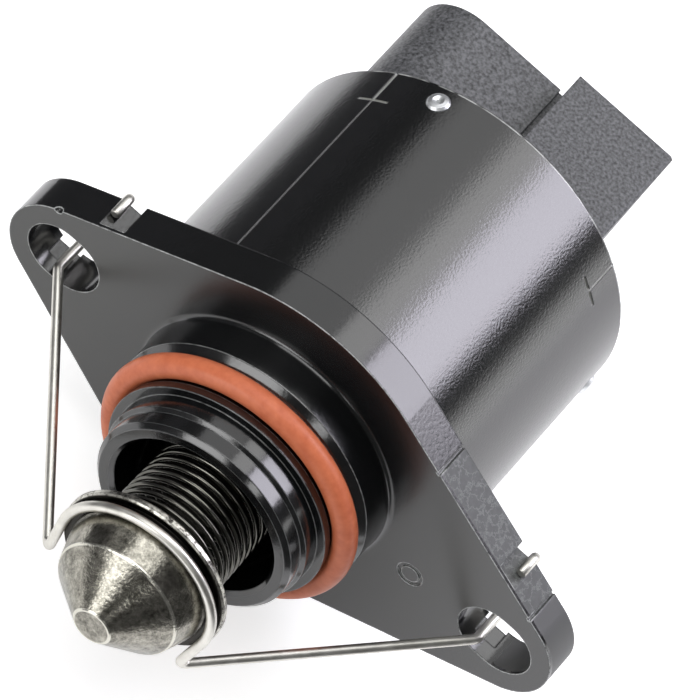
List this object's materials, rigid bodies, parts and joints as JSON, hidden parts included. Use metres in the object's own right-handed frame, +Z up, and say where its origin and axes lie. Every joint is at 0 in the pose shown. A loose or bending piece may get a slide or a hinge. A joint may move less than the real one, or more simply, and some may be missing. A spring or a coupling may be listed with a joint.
{
  "type": "idle air control valve",
  "caption": "Stepper idle air valve with flanged nose, seal ring, sprung pintle held back by a wire transport clip, black motor can and plug socket.",
  "frame": {"origin": "where the valve's axis meets the front face of the flange", "axes": "+X along the flange, +Y back along the axis from the pintle to the plug socket, +Z up towards the clip's hooks and the latch block"},
  "size_m": [0.0614, 0.0681, 0.0364],
  "materials": {
    "housing": "glass-filled, semi-matt to gloss",
    "seal": "orange, smooth",
    "can_seal": "black",
    "bush": "sintered bronze",
    "can": "gloss black",
    "pins": "bright",
    "plug": "grained dark grey",
    "terminal": "tinned",
    "clip": "bright drawn wire",
    "spring": "dark spring wire",
    "pole": "pressed sheet",
    "bobbin": "natural",
    "coil": "enamelled copper wire",
    "bearing": "ground",
    "cage": "pressed",
    "nut": "moulded",
    "magnet": "sintered ferrite",
    "shaft": "turned",
    "washer": "pressed",
    "head": "sintered steel",
    "collar": "turned"
  },
  "bodies": {
    "housing": {"nose_housing": "housing", "seal_ring": "seal", "can_seal": "can_seal", "guide_bush": "bush", "rear_bush": "bush", "motor_can": "can", "lock_pin_1": "pins", "lock_pin_2": "pins", "lock_pin_3": "pins", "end_cap": "plug", "terminal_1": "terminal", "terminal_2": "terminal", "terminal_3": "terminal", "terminal_4": "terminal", "transport_clip": "clip", "pintle_spring": "spring", "front_pole_cup": "pole", "front_pole_plate": "pole", "rear_pole_plate": "pole", "rear_pole_cup": "pole", "front_bobbin": "bobbin", "rear_bobbin": "bobbin", "front_coil": "coil", "rear_coil": "coil", "bearing_outer_race": "bearing", "preload_washer": "washer"},
    "rotor": {"rotor_nut": "nut", "rotor_magnet": "magnet", "rotor_rear_pin": "shaft", "bearing_inner_race": "bearing"},
    "ball_train": {"ball_cage": "cage", "ball_1": "bearing", "ball_2": "bearing", "ball_3": "bearing", "ball_4": "bearing", "ball_5": "bearing", "ball_6": "bearing", "ball_7": "bearing"},
    "pintle": {"pintle_head": "head", "spring_collar": "collar", "lead_screw": "shaft"}
  },
  "joints": [
    {"name": "pintle_slide", "type": "slide", "parent": "housing", "child": "pintle", "axis": [0, 1, 0], "range_m": [0, 0.006], "deforming": ["pintle_spring"]},
    {"name": "rotor_spin", "type": "hinge", "parent": "housing", "child": "rotor", "pos_m": [0, 0, 0], "axis": [0, 1, 0], "range_deg": [0, 2161]},
    {"name": "cage_spin", "type": "hinge", "parent": "housing", "child": "ball_train", "pos_m": [0, 0, 0], "axis": [0, 1, 0], "range_deg": [0, 911]}
  ],
  "couplings": [
    {"joint": "rotor_spin", "follows": "pintle_slide", "rad_per_m": 6283.2},
    {"joint": "cage_spin", "follows": "pintle_slide", "rad_per_m": 2644.2}
  ]
}
